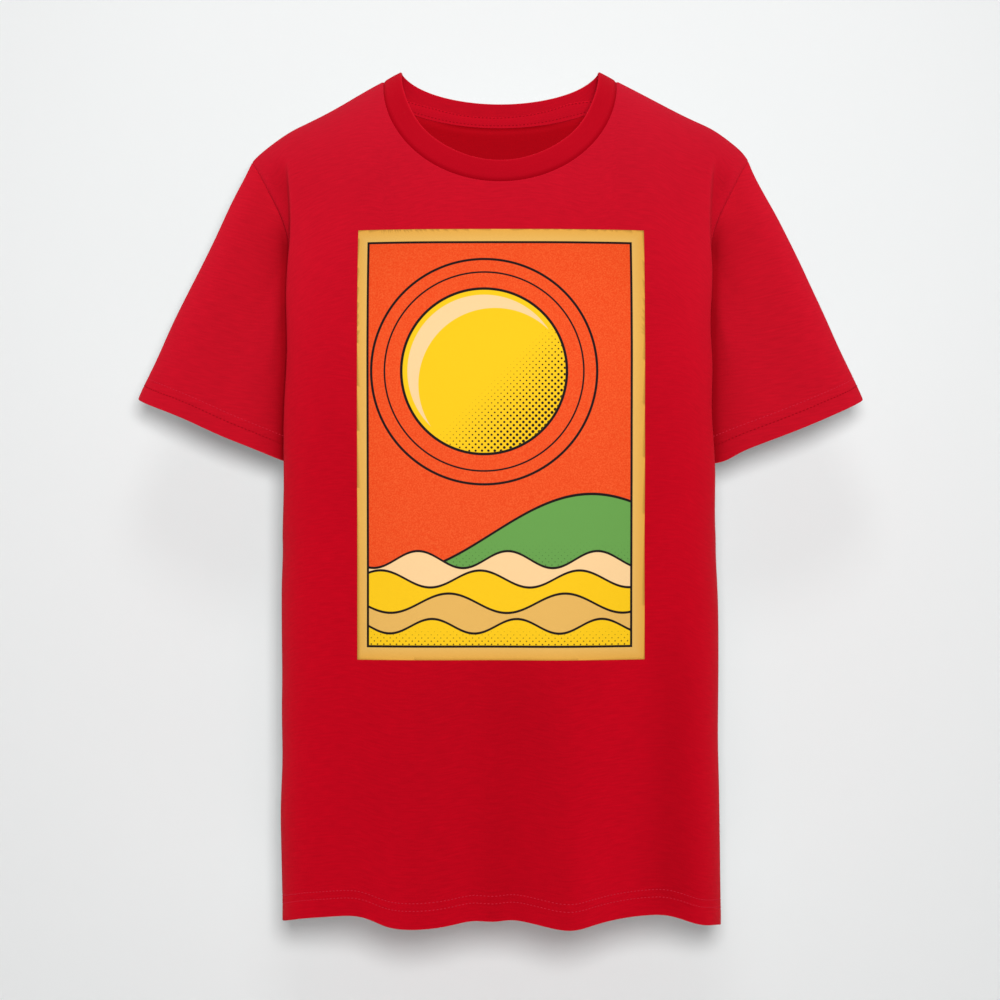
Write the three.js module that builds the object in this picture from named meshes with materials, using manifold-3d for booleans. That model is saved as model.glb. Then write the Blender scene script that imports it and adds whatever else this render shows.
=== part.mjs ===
// A short-sleeved crew-neck T-shirt in cotton jersey, in the shape that it takes when it is worn.
// Millimetres, +Z up. The front faces -Y. The origin is the centre of the neck opening, level with
// the two points where the shoulder seams meet the neck seam.

import * as THREE from "three";
import Module from "manifold-3d";
import { mergeVertices } from "three/addons/utils/BufferGeometryUtils.js";

const wasm = await Module();
wasm.setup();

const DEG = Math.PI / 180;
const FRONT = -1;
const BACK = 1;

// Cloth
const CLOTH = 1.2; // thickness of one layer of jersey
const HEM_DEPTH = 21; // width of the turned-up hems
const SEAM_GAP = 0.5; // clearance between two pieces at a seam

// Body of the shirt
const HEM_Z = -716;
const SIDE_HALF_WIDTH = 187.5; // half the width of the body seen from the front
const SECTION_POWER = 3.2; // 2 is an ellipse; higher is squarer
const CHEST_Z = -230;
const SHOULDER_FALL_Z = -260; // where the front and back start to lean in towards the shoulder line

// Shoulders and armholes
const TIP = { x: 214, z: -71 }; // where the shoulder seam meets the sleeve
const UNDERARM_Z = -248;
const UNDERARM_EASE = 1.6; // extra clearance of the sleeve there
const ARMHOLE_TURN_Z = -180; // above this height the armhole runs straight up
const ARMHOLE_SCOOP = { [FRONT]: 13 * DEG, [BACK]: 11 * DEG };
const ARM_DENT = { share: 0.105, [FRONT]: 34, [BACK]: 54 }; // how far in and how wide the arms press the sides
// The fold beside each armhole: the chest stands over a hollow that fills again towards the seam
const CREASE = { [FRONT]: 30, [BACK]: 8, x: 183.5, bow: 3.5, bowZ: -120, wall: 4.5, width: 26 };

// Neck
const NECK_HALF_WIDTH = 101; // at the seam, on the shoulder line
const NECK_DROP = { [FRONT]: 98, [BACK]: 23.5 };
const NECK_SHARE = 6 / 13; // share of a panel's top edge that the neckline takes
const RIB = { front: 21.5, shoulder: 17.5, back: 12.7, swell: 5, thickness: 2.6, clearance: 1.6 };
const RIB_LEAN = { front: 26 * DEG, shoulder: 60 * DEG, back: 10 * DEG };
const RIB_TURN = { front: 1.5, back: 0.9 }; // how soon the lean changes on the way to the shoulder
const TAPE = { width: 9.5, thickness: 1, clearance: 1.3, ends: 0.85 };

// Sleeves
const CUFF = {
  centre: new THREE.Vector3(245.5, 8, -304.5),
  halfWidth: 74,
  halfDepth: 46,
  tilt: 22.6 * DEG, // the cuff's slope, down towards the body
  backLift: 0.06, // the back edge is a little higher than the front edge
};

// Print on the chest: its edges, and the clearance and thickness of its film
const PRINT = { left: -118, right: 119.5, bottom: -496, top: -141, clearance: 0.3, film: 0.5 };

// Soft folds that run up from the hem: angle from the centre line, spread, depth and upper end
const FLUTES = {
  [FRONT]: [
    { angle: -50, spread: 12, out: -9, top: -500 },
    { angle: -26, spread: 11, out: 14, top: -520 },
    { angle: -3, spread: 12, out: -13, top: -420 },
    { angle: 21, spread: 11, out: 17, top: -400 },
    { angle: 50, spread: 13, out: -15, top: -330 },
    { angle: 86, spread: 14, out: 3, top: -460 },
  ],
  [BACK]: [
    { angle: -66, spread: 13, out: 6, top: -520 },
    { angle: -44, spread: 12, out: -11, top: -460 },
    { angle: -20, spread: 12, out: 13, top: -420 },
    { angle: 4, spread: 11, out: -12, top: -440 },
    { angle: 27, spread: 12, out: 15, top: -380 },
    { angle: 54, spread: 12, out: -12, top: -450 },
    { angle: 86, spread: 14, out: 3, top: -460 },
  ],
};

// How much lower than HEM_Z the hem hangs: angle, spread and drop
const HEM_HANG = {
  [FRONT]: [
    { angle: -90, spread: 18, drop: 11.7 },
    { angle: -72, spread: 9, drop: 1 },
    { angle: -60, spread: 8, drop: -1.8 },
    { angle: -48, spread: 9, drop: -5.9 },
    { angle: -38, spread: 7, drop: 1.9 },
    { angle: -29, spread: 7, drop: 1 },
    { angle: -11, spread: 7, drop: -3.4 },
    { angle: 5, spread: 7, drop: -3.8 },
    { angle: 13, spread: 7, drop: -1.8 },
    { angle: 22, spread: 7, drop: 1.7 },
    { angle: 31, spread: 7, drop: -0.9 },
    { angle: 39, spread: 7, drop: -2.5 },
    { angle: 47, spread: 7, drop: -3.5 },
    { angle: 56, spread: 7, drop: -5.5 },
    { angle: 64, spread: 8, drop: 5 },
    { angle: 74, spread: 8, drop: 2.9 },
    { angle: 82, spread: 6, drop: 1.4 },
    { angle: 90, spread: 14, drop: 16.2 },
  ],
  [BACK]: [
    { angle: -90, spread: 18, drop: 11.7 },
    { angle: -66, spread: 13, drop: 2 },
    { angle: -44, spread: 12, drop: -4 },
    { angle: -20, spread: 12, drop: 2 },
    { angle: 4, spread: 11, drop: -3 },
    { angle: 27, spread: 12, drop: 2 },
    { angle: 54, spread: 12, drop: -4 },
    { angle: 90, spread: 14, drop: 16.3 },
  ],
};

const clamp01 = (x) => Math.min(1, Math.max(0, x));
const mix = (a, b, t) => a + (b - a) * t;
const smooth = (a, b, x) => {
  const t = clamp01((x - a) / (b - a));
  return t * t * (3 - 2 * t);
};
const bell = (x, centre, width) => Math.exp(-(((x - centre) / width) ** 2));

// The body form: sections at one height, from the front centre line round to a side seam

function halfWidth(z) {
  const flare = clamp01((z + 146) / (TIP.z + 146));
  return SIDE_HALF_WIDTH + 2 * bell(z, -330, 120) + (TIP.x + 2 - SIDE_HALF_WIDTH) * flare ** 1.5;
}

function sectionDepth(side, z) {
  if (side === FRONT) {
    return 126 + 9 * bell(z, CHEST_Z, 130) - 10 * smooth(-200, -60, z);
  }
  return 108 + 10 * bell(z, -190, 110) - 9 * bell(z, -430, 130);
}

function shoulderLine(x) {
  const soft = (a) => Math.hypot(a, 60);
  const droop = Math.max(0, Math.abs(x) - 175);
  return -0.58 * (soft(x) - soft(NECK_HALF_WIDTH)) - 0.0062 * droop ** 2;
}

function shoulderFall(x, z) {
  const t = clamp01((z - SHOULDER_FALL_Z) / (shoulderLine(x) - SHOULDER_FALL_Z));
  return (1 - t * t) ** 0.6;
}

function armDent(z) {
  return ARM_DENT.share * smooth(-400, -345, z) * (1 - smooth(-150, -88, z));
}

function creaseIn(side, x, z) {
  const past = Math.abs(x) - CREASE.x + CREASE.bow * bell(z, CREASE.bowZ, 40);
  const hollow = smooth(-CREASE.wall / 2, CREASE.wall / 2, past) * (1 - smooth(2, CREASE.width, past));
  return CREASE[side] * hollow * (1 - smooth(-95, -68, z)) * smooth(-200, -130, z);
}

function flute(side, angle, z) {
  return FLUTES[side].reduce((sum, f) => {
    const rise = clamp01((f.top - z) / (f.top - HEM_Z));
    return sum + f.out * rise ** 1.4 * bell(angle / DEG, f.angle, f.spread);
  }, 0);
}

function hemDrop(side, angle) {
  return HEM_HANG[side].reduce((sum, h) => sum + h.drop * bell(angle / DEG, h.angle, h.spread), 0);
}

// Distance of the form from the shoulder plane, before it leans in towards the shoulder line
function plainDepth(side, x, z) {
  return sectionDepth(side, z) * clamp01(1 - Math.abs(x / halfWidth(z)) ** SECTION_POWER) ** (1 / SECTION_POWER);
}

function bodyPoint(side, angle, z) {
  const s = Math.sin(angle);
  const c = Math.cos(angle);
  const n = SECTION_POWER;
  const r = (Math.abs(s / halfWidth(z)) ** n + Math.abs(c / sectionDepth(side, z)) ** n) ** (-1 / n);
  const wave = flute(side, angle, z);
  const x = r * s * (1 - armDent(z) * bell(r * c, 0, ARM_DENT[side]));
  const depth = (r * c + wave * c - creaseIn(side, r * s, z)) * shoulderFall(r * s, z);
  return new THREE.Vector3(x + wave * s, side * (depth + SEAM_GAP / 2), z);
}

// The edges of the panels

function neckEdge(side, turn) {
  const x = NECK_HALF_WIDTH * Math.sin(turn);
  const z = -NECK_DROP[side] * Math.max(0, Math.cos(turn)) ** (side === FRONT ? 0.95 : 1.3);
  const y = side * (plainDepth(side, x, z) * shoulderFall(x, z) + SEAM_GAP / 2);
  return new THREE.Vector3(x, y, z);
}

function topEdge(u) {
  const share = Math.abs(u) / NECK_SHARE;
  if (share <= 1) return { x: NECK_HALF_WIDTH * Math.sin((share * Math.PI) / 2), share };
  return { x: mix(NECK_HALF_WIDTH, TIP.x, (share * NECK_SHARE - NECK_SHARE) / (1 - NECK_SHARE)), share };
}

function topHeight(side, u) {
  const { x, share } = topEdge(u);
  return share <= 1 ? neckEdge(side, (share * Math.PI) / 2).z : shoulderLine(x);
}

function topAngle(side, u) {
  const { x } = topEdge(u);
  return Math.sign(u) * Math.atan2(x, plainDepth(side, x, topHeight(side, u)));
}

function armholeAngle(side, z) {
  const scoop = mix(ARMHOLE_SCOOP[side], Math.PI / 2 - topAngle(side, 1), smooth(ARMHOLE_TURN_Z, TIP.z, z));
  const turn = clamp01((ARMHOLE_TURN_Z - z) / (ARMHOLE_TURN_Z - UNDERARM_Z));
  return Math.PI / 2 - scoop * Math.sqrt(1 - turn * turn);
}

// u runs from one side of the panel to the other, -1 to 1, and v from the hem up to the top edge, 0 to 1
function panelPoint(side, u, v) {
  const rise = (w) => HEM_Z - HEM_Z * v + topHeight(side, w) * v ** 3;
  const edge = armholeAngle(side, rise(1));
  const gather = smooth(0.45, 1, v);
  const spread = u + gather * (topAngle(side, u) / topAngle(side, 1) - u);
  const angle = edge * spread;
  return bodyPoint(side, angle, rise(u) - hemDrop(side, angle) * (1 - v) ** 4);
}

function armholePoint(side, hand, z) {
  return bodyPoint(side, hand * armholeAngle(side, z), z);
}

// Sleeve: turn runs round the armhole from the shoulder tip, over the front and back up; along runs to the cuff
function sleevePoint(hand, turn, along) {
  const side = turn <= Math.PI ? FRONT : BACK;
  const lift = (1 + Math.cos(turn)) / 2;
  const start = armholePoint(side, hand, mix(UNDERARM_Z, TIP.z, lift));
  const forward = Math.sin(turn);
  const down = new THREE.Vector3(-Math.sin(CUFF.tilt) * -hand, 0, -Math.cos(CUFF.tilt));
  const leave = new THREE.Vector3(hand * mix(0.28, 0.52, lift), -0.3 * forward, -mix(0.96, 0.86, lift)).normalize();
  const across = Math.cos(turn) * CUFF.halfWidth;
  const fore = -forward * CUFF.halfDepth;
  const end = new THREE.Vector3(
    hand * (CUFF.centre.x + across * Math.cos(CUFF.tilt)),
    CUFF.centre.y + fore,
    CUFF.centre.z + across * Math.sin(CUFF.tilt) + CUFF.backLift * fore,
  );
  start.addScaledVector(leave, 2 * SEAM_GAP);
  start.x += hand * (1 - lift) * UNDERARM_EASE;
  const reach = start.distanceTo(end);
  const t = along;
  const h1 = 2 * t ** 3 - 3 * t ** 2 + 1;
  const h2 = t ** 3 - 2 * t ** 2 + t;
  const h3 = 3 * t ** 2 - 2 * t ** 3;
  const h4 = t ** 3 - t ** 2;
  return start
    .multiplyScalar(h1)
    .addScaledVector(leave, h2 * reach)
    .addScaledVector(end, h3)
    .addScaledVector(down, h4 * reach);
}

// The neck rib: turn runs round the neck from the front centre, across from the seam to the free edge
function ribPoint(turn, across, offset) {
  const side = Math.cos(turn) >= 0 ? FRONT : BACK;
  const seam = (a) => neckEdge(Math.cos(a) >= 0 ? FRONT : BACK, Math.cos(a) >= 0 ? a : Math.PI - a);
  const base = seam(turn);
  const tangent = seam(turn + 0.02).sub(seam(turn - 0.02)).setZ(0).normalize();
  const inward = new THREE.Vector3(-tangent.y, tangent.x, 0);
  const far = side === FRONT ? "front" : "back";
  const facing = Math.abs(Math.cos(turn));
  const lean = mix(RIB_LEAN.shoulder, RIB_LEAN[far], facing ** RIB_TURN[far]);
  const swell = side === FRONT ? RIB.swell * Math.sin(2 * turn) ** 2 : 0;
  const width = mix(RIB.shoulder, RIB[far], facing) + swell;
  const rise = inward.clone().multiplyScalar(Math.sin(lean)).setZ(Math.cos(lean));
  const out = inward.clone().multiplyScalar(-Math.cos(lean)).setZ(Math.sin(lean));
  return base.addScaledVector(rise, mix(RIB.clearance, width, across)).addScaledVector(out, offset);
}

// The tape that covers the neck seam inside the back of the neck
function tapePoint(u, across) {
  return panelPoint(BACK, u, 1 + (TAPE.width / HEM_Z) * (1 - across));
}

// Solids

function solidOf(geometry) {
  const bare = geometry.clone();
  bare.deleteAttribute("normal");
  bare.deleteAttribute("uv");
  const merged = mergeVertices(bare, 1e-4);
  return new wasm.Manifold(
    new wasm.Mesh({
      numProp: 3,
      vertProperties: merged.attributes.position.array,
      triVerts: new Uint32Array(merged.index.array),
    }),
  );
}

function geometryOf(solid) {
  const mesh = solid.getMesh();
  const geometry = new THREE.BufferGeometry();
  geometry.setAttribute("position", new THREE.BufferAttribute(mesh.vertProperties, 3));
  geometry.setIndex(new THREE.BufferAttribute(mesh.triVerts, 1));
  return geometry;
}

// A closed sheet of cloth over a grid. point(u, v) is a surface; facing is 1 or -1, so that the cloth's
// outer face looks out of the garment; outer and inner are distances from the surface along its normal.
function sheet({ point, facing, us, vs, ring = false, outer = () => 0, inner }) {
  const step = 1e-4;
  const along = (u, v) => {
    const du = point(u + step, v).sub(point(u - step, v));
    const low = Math.max(vs[0], v - step);
    const high = Math.min(vs[vs.length - 1], v + step);
    return du.cross(point(u, high).sub(point(u, low))).multiplyScalar(facing).normalize();
  };
  const positions = [];
  for (const depth of [outer, inner]) {
    for (const v of vs) {
      for (const u of us) {
        positions.push(...point(u, v).addScaledVector(along(u, v), depth(u, v)).toArray());
      }
    }
  }
  const across = us.length;
  const layer = across * vs.length;
  const faces = [];
  const quad = (a, b, c, d) => faces.push(...(facing > 0 ? [a, b, c, a, c, d] : [a, c, b, a, d, c]));
  const cells = ring ? across : across - 1;
  for (let j = 0; j < vs.length - 1; j += 1) {
    for (let i = 0; i < cells; i += 1) {
      const a = j * across + i;
      const b = j * across + ((i + 1) % across);
      quad(a, b, b + across, a + across);
      quad(layer + a, layer + a + across, layer + b + across, layer + b);
    }
  }
  const top = (vs.length - 1) * across;
  for (let i = 0; i < cells; i += 1) {
    const next = (i + 1) % across;
    quad(layer + i, layer + next, next, i);
    quad(top + i, top + next, layer + top + next, layer + top + i);
  }
  if (!ring) {
    for (let j = 0; j < vs.length - 1; j += 1) {
      const left = j * across;
      const right = left + across - 1;
      quad(layer + left, left, left + across, layer + left + across);
      quad(right, layer + right, layer + right + across, right + across);
    }
  }
  const geometry = new THREE.BufferGeometry();
  geometry.setAttribute("position", new THREE.Float32BufferAttribute(positions, 3));
  geometry.setIndex(faces);
  return geometry;
}

const steps = (count, from, to) => Array.from({ length: count + 1 }, (_, i) => mix(from, to, i / count));

// Rows of a panel: one at the top of the hem, then closer together towards the shoulder
function panelRows(count) {
  const hem = HEM_DEPTH / -HEM_Z;
  const rows = steps(count, 0, 1).map((s) => mix(hem * 1.1, 1, 1 - (1 - s) ** 1.45));
  return [0, hem, ...rows];
}

// Columns of a panel: closer together towards the armholes
function panelColumns(count) {
  return steps(count, -1, 1).map((s) => Math.sign(s) * (1 - (1 - Math.abs(s)) ** 1.25));
}

const PANEL_COLUMNS = 32;
const PANEL_ROWS = 25;

function panelGeometry(side) {
  const hem = HEM_DEPTH / -HEM_Z;
  return sheet({
    point: (u, v) => panelPoint(side, u, v),
    facing: side === FRONT ? 1 : -1,
    us: panelColumns(PANEL_COLUMNS),
    vs: panelRows(PANEL_ROWS),
    inner: (u, v) => (v > hem + 1e-6 ? -CLOTH : -2 * CLOTH),
  });
}

function sleeveGeometry(hand) {
  const count = 28;
  const hem = 1 - HEM_DEPTH / 235;
  return sheet({
    point: (turn, along) => sleevePoint(hand, ((turn % 1) + 1) % 1 * 2 * Math.PI, along),
    facing: hand,
    us: steps(count, 0, 1).slice(0, -1),
    vs: [...steps(8, 0, hem - 0.01), hem, 1],
    ring: true,
    inner: (turn, along) => (along < hem - 1e-6 ? -CLOTH : -2 * CLOTH),
  });
}

function ribGeometry() {
  const count = 56;
  const half = RIB.thickness / 2;
  // The section runs round the band: outer face up, over the fold, and down the inner face
  const section = [
    [0, half],
    [0.5, half * 1.15],
    [0.93, half],
    [1, 0],
    [0.93, -half],
    [0.5, -half * 1.15],
    [0, -half],
  ];
  const positions = [];
  for (let i = 0; i < count; i += 1) {
    for (const [across, offset] of section) {
      positions.push(...ribPoint((i / count) * 2 * Math.PI, across, offset - half).toArray());
    }
  }
  const faces = [];
  const n = section.length;
  for (let i = 0; i < count; i += 1) {
    const next = (i + 1) % count;
    for (let k = 0; k < n; k += 1) {
      const m = (k + 1) % n;
      faces.push(i * n + k, next * n + k, next * n + m, i * n + k, next * n + m, i * n + m);
    }
  }
  const geometry = new THREE.BufferGeometry();
  geometry.setAttribute("position", new THREE.Float32BufferAttribute(positions, 3));
  geometry.setIndex(faces);
  return geometry;
}

function tapeGeometry() {
  const clear = -CLOTH - TAPE.clearance;
  const span = NECK_SHARE * TAPE.ends;
  return sheet({
    point: tapePoint,
    facing: -1,
    us: steps(24, -span, span),
    vs: steps(2, 0, 1),
    outer: () => clear,
    inner: () => clear - TAPE.thickness,
  });
}

function printGeometry() {
  const film = sheet({
    point: (u, v) => panelPoint(FRONT, u, v),
    facing: 1,
    us: panelColumns(PANEL_COLUMNS),
    vs: panelRows(PANEL_ROWS),
    outer: () => PRINT.clearance + PRINT.film,
    inner: () => PRINT.clearance,
  });
  const width = PRINT.right - PRINT.left;
  const height = PRINT.top - PRINT.bottom;
  const frame = new THREE.BoxGeometry(width, 200, height);
  frame.translate(PRINT.left + width / 2, -140, PRINT.bottom + height / 2);
  return geometryOf(solidOf(film).intersect(solidOf(frame)));
}

// Materials

const jersey = new THREE.MeshStandardMaterial({ color: 0xc41428, roughness: 0.9, metalness: 0 });
const ribKnit = new THREE.MeshStandardMaterial({ color: 0xbb1025, roughness: 0.92, metalness: 0 });
const printFilm = new THREE.MeshStandardMaterial({ color: 0xf2542a, roughness: 0.6, metalness: 0 });

const shirt = new THREE.Group();

function add(name, geometry, material) {
  const mesh = new THREE.Mesh(geometry, material);
  mesh.name = name;
  shirt.add(mesh);
}

add("front_panel", panelGeometry(FRONT), jersey);
add("back_panel", panelGeometry(BACK), jersey);
add("right_sleeve", sleeveGeometry(-1), jersey);
add("left_sleeve", sleeveGeometry(1), jersey);
add("neck_rib", ribGeometry(), ribKnit);
add("neck_tape", tapeGeometry(), jersey);
add("chest_print", printGeometry(), printFilm);

export default shirt;
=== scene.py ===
import math

import bmesh
import bpy
import numpy as np
from mathutils import Matrix, Vector


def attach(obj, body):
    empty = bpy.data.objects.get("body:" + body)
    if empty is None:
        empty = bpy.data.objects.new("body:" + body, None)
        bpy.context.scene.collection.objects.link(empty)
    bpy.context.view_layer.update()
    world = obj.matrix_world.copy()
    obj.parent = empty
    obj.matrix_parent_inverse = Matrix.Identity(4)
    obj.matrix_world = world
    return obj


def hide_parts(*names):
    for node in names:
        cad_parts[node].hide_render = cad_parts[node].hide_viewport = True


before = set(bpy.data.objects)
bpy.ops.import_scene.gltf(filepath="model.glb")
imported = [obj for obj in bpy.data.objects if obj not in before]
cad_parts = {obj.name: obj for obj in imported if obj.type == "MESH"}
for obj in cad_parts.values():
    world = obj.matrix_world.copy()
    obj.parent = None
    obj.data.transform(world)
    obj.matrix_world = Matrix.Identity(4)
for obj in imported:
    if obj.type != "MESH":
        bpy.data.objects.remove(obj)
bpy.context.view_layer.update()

mm = 0.001
front, back = -1, 1


# small helpers for curves of numbers

def bell(x, centre, width):
    return np.exp(-(((x - centre) / width) ** 2))


def smooth(low, high, x):
    t = np.clip((x - low) / (high - low), 0, 1)
    return t * t * (3 - 2 * t)


def mix(a, b, t):
    return a + (b - a) * t


def unit(vectors):
    return vectors / np.maximum(np.linalg.norm(vectors, axis=-1, keepdims=True), 1e-12)


def band(low, high, x):
    # 1 between two slopes and 0 outside them, each slope given as its start and its end
    return smooth(*low, x) * (1 - smooth(*high, x))


# the shape of the body of the shirt, which every piece is laid on

body = {
    "hemZ": -0.716,
    "halfGap": 0.25 * mm,  # half the gap between the front and the back panel
    "sideHalfWidth": 0.1875,
    "sideSwell": (0.002, -0.330, 0.120),  # how far out, at what height, over what reach
    "flareZ": -0.146,  # where the sides open towards the shoulder tips
    "flarePower": 1.5,
    "flareEase": 0.002,
    "sectionPower": 3.2,
    "depth": {front: 0.126, back: 0.108},
    "swells": {  # how far out, at what height, over what reach
        front: [(0.009, -0.230, 0.130)],
        back: [(0.010, -0.190, 0.110), (-0.009, -0.430, 0.130)],
    },
    "collarbone": (0.010, -0.200, -0.060),  # how far the front falls back, between which heights
    "shoulderSlope": 0.58,
    "shoulderBend": 0.060,
    "shoulderDroop": (0.175, 6.2),  # from which x on, and how fast
    "shoulderFallZ": -0.260,
    "shoulderFallPower": 0.6,
    "tip": (0.214, -0.071),
    "underarmZ": -0.248,
    "armholeTurnZ": -0.180,
    "armholeScoop": {front: math.radians(13), back: math.radians(11)},
    "armDent": 0.105,
    "armDentReach": {front: 0.034, back: 0.054},
    "armDentZ": ((-0.400, -0.345), (-0.150, -0.088)),
    "neckHalfWidth": 0.101,
    "neckDrop": {front: 0.098, back: 0.0235},
    "neckPower": {front: 0.95, back: 1.3},
    "neckShare": 6 / 13,
    "fluteRise": 1.4,
    "hemEnd": 84,  # past this angle, in degrees, the hem runs on level to the side seam
    "hemFade": 4,  # how soon the rows above the hem leave its line
    "topFade": 3,  # and how late they take on that of the top edge
    "gatherFrom": 0.45,
}

# soft folds that rise from the hem: angle, spread, how far out, where they end
flutes = {
    front: [
        (-50, 12, -0.009, -0.500),
        (-26, 11, 0.014, -0.520),
        (-3, 12, -0.013, -0.420),
        (21, 11, 0.017, -0.400),
        (50, 13, -0.015, -0.330),
        (86, 14, 0.003, -0.460),
    ],
    back: [
        (-66, 13, 0.006, -0.520),
        (-44, 12, -0.011, -0.460),
        (-20, 12, 0.013, -0.420),
        (4, 11, -0.012, -0.440),
        (27, 12, 0.015, -0.380),
        (54, 12, -0.012, -0.450),
        (86, 14, 0.003, -0.460),
    ],
}

# how much lower the hem hangs than hemZ: angle, spread, drop
hemHang = {
    front: [
        (-90, 18, 0.0117),
        (-72, 9, 0.0010),
        (-60, 8, -0.0018),
        (-48, 9, -0.0059),
        (-38, 7, 0.0019),
        (-29, 7, 0.0010),
        (-11, 7, -0.0034),
        (5, 7, -0.0038),
        (13, 7, -0.0018),
        (22, 7, 0.0017),
        (31, 7, -0.0009),
        (39, 7, -0.0025),
        (47, 7, -0.0035),
        (56, 7, -0.0055),
        (64, 8, 0.0050),
        (74, 8, 0.0042),
        (82, 6, 0.0004),
        (90, 14, 0.0162),
    ],
    back: [
        (-90, 18, 0.0117),
        (-66, 13, 0.002),
        (-44, 12, -0.004),
        (-20, 12, 0.002),
        (4, 11, -0.003),
        (27, 12, 0.002),
        (54, 12, -0.004),
        (90, 22, 0.0159),
    ],
}


def halfWidth(z):
    tipX, tipZ = body["tip"]
    flare = np.clip((z - body["flareZ"]) / (tipZ - body["flareZ"]), 0, 1) ** body["flarePower"]
    side = body["sideHalfWidth"]
    out, at, reach = body["sideSwell"]
    return side + out * bell(z, at, reach) + (tipX + body["flareEase"] - side) * flare


def sectionDepth(side, z):
    depth = body["depth"][side] + sum(out * bell(z, at, reach) for out, at, reach in body["swells"][side])
    if side == front:
        fall, low, high = body["collarbone"]
        depth = depth - fall * smooth(low, high, z)
    return depth


def shoulderLine(x):
    soft = np.hypot(x, body["shoulderBend"]) - math.hypot(body["neckHalfWidth"], body["shoulderBend"])
    droopX, pull = body["shoulderDroop"]
    droop = np.maximum(0, np.abs(x) - droopX)
    return -body["shoulderSlope"] * soft - pull * droop ** 2


def shoulderFall(x, z):
    low = body["shoulderFallZ"]
    t = np.clip((z - low) / (shoulderLine(x) - low), 0, 1)
    return (1 - t * t) ** body["shoulderFallPower"]


def plainDepth(side, x, z):
    n = body["sectionPower"]
    inside = np.clip(1 - np.abs(x / halfWidth(z)) ** n, 0, 1)
    return sectionDepth(side, z) * inside ** (1 / n)


# the fold at the front of each armhole: the chest stands over a hollow that fills again towards the seam

crease = {
    "depth": {front: 0.030, back: 0.008},
    "x": 0.1835,
    "bow": (0.0035, -0.120, 0.040),  # how far it bows to the middle, at what height, over what reach
    "wall": 0.0045,
    "width": (0.002, 0.026),  # where the hollow starts to fill again, and where it is filled
    "ends": ((-0.200, -0.130), (-0.095, -0.068)),
    # painted shade in and beside the hollow of the crease:
    "shade": (0.50, 0.32),  # on the wearer's right and left
    "shadeWidth": 0.006,
    "shadeEnds": ((-0.260, -0.200), (-0.100, -0.070)),
}


def pastCrease(x, z):
    bow, at, reach = crease["bow"]
    return np.abs(x) - crease["x"] + bow * bell(z, at, reach)


def creaseIn(side, x, z):
    past, wall = pastCrease(x, z), crease["wall"] / 2
    hollow = band((-wall, wall), crease["width"], past)
    return crease["depth"][side] * hollow * band(*crease["ends"], z)


# painted shade: the colour is darkened in the hollow of the crease and beside it, deeper on the wearer's
# right
def creaseShade(x, z):
    past, wall = pastCrease(x, z), 0.4 * crease["wall"]
    along = band(*crease["shadeEnds"], z) * np.where(x < 0, *crease["shade"])
    return smooth(-wall, wall, past) * np.exp(-np.maximum(past, 0) / crease["shadeWidth"]) * along


def bodyPoint(side, angle, z):
    # angle goes round from the middle of that side, 0, to the side seam, a quarter turn
    s, c, n = np.sin(angle), np.cos(angle), body["sectionPower"]
    r = (np.abs(s / halfWidth(z)) ** n + np.abs(c / sectionDepth(side, z)) ** n) ** (-1 / n)
    degrees = np.degrees(angle)
    wave = 0
    for at, spread, out, top in flutes[side]:
        rise = np.clip((top - z) / (top - body["hemZ"]), 0, 1)
        wave = wave + out * rise ** body["fluteRise"] * bell(degrees, at, spread)
    armDent = body["armDent"] * band(*body["armDentZ"], z)
    dent = armDent * bell(r * c, 0, body["armDentReach"][side])
    depth = (r * c + wave * c - creaseIn(side, r * s, z)) * shoulderFall(r * s, z)
    return np.stack([r * s * (1 - dent) + wave * s, side * (depth + body["halfGap"]), z + 0 * s], -1)


def hemDrop(side, angle):
    degrees = np.minimum(np.degrees(angle), body["hemEnd"])
    return sum(drop * bell(degrees, at, spread) for at, spread, drop in hemHang[side])


def neckEdge(side, turn):
    x = body["neckHalfWidth"] * np.sin(turn)
    z = -body["neckDrop"][side] * np.maximum(0, np.cos(turn)) ** body["neckPower"][side]
    y = side * (plainDepth(side, x, z) * shoulderFall(x, z) + body["halfGap"])
    return np.stack([x, y, z], -1)


def topEdge(side, u):
    share = np.abs(u) / body["neckShare"]
    turn = np.minimum(share, 1) * math.pi / 2
    outer = np.clip((np.abs(u) - body["neckShare"]) / (1 - body["neckShare"]), 0, 1)
    onNeck = share <= 1
    neckX, tipX = body["neckHalfWidth"], body["tip"][0]
    x = np.where(onNeck, neckX * np.sin(turn), mix(neckX, tipX, outer))
    z = np.where(onNeck, neckEdge(side, turn)[..., 2], shoulderLine(x))
    return x, z


def topAngle(side, u):
    x, z = topEdge(side, u)
    return np.sign(u) * np.arctan2(x, plainDepth(side, x, z))


def armholeAngle(side, z):
    tipAngle = topAngle(side, np.array(1.0))
    turnZ, underarm = body["armholeTurnZ"], body["underarmZ"]
    scoop = mix(body["armholeScoop"][side], math.pi / 2 - tipAngle, smooth(turnZ, body["tip"][1], z))
    turn = np.clip((turnZ - z) / (turnZ - underarm), 0, 1)
    return math.pi / 2 - scoop * np.sqrt(1 - turn * turn)


def panelPoint(side, u, v):
    # u runs from side to side, -1 to 1, and v from the hem, 0, to the top edge, 1
    def rise(w):
        return body["hemZ"] * (1 - v) + topEdge(side, w)[1] * v ** body["topFade"]
    edge = armholeAngle(side, rise(np.ones_like(u)))
    gather = smooth(body["gatherFrom"], 1, v)
    spread = u + gather * (topAngle(side, u) / topAngle(side, np.array(1.0)) - u)
    angle = edge * spread
    return bodyPoint(side, angle, rise(u) - hemDrop(side, angle) * (1 - v) ** body["hemFade"])


# grids of points, and the cloth meshes made from them

def gridNormals(points, ring=False):
    # the normals face a viewer who sees the columns run to the right and the rows run up
    across = (np.roll(points, -1, 1) - np.roll(points, 1, 1)) if ring else np.gradient(points, axis=1)
    return unit(np.cross(across, np.gradient(points, axis=0)))


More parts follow.
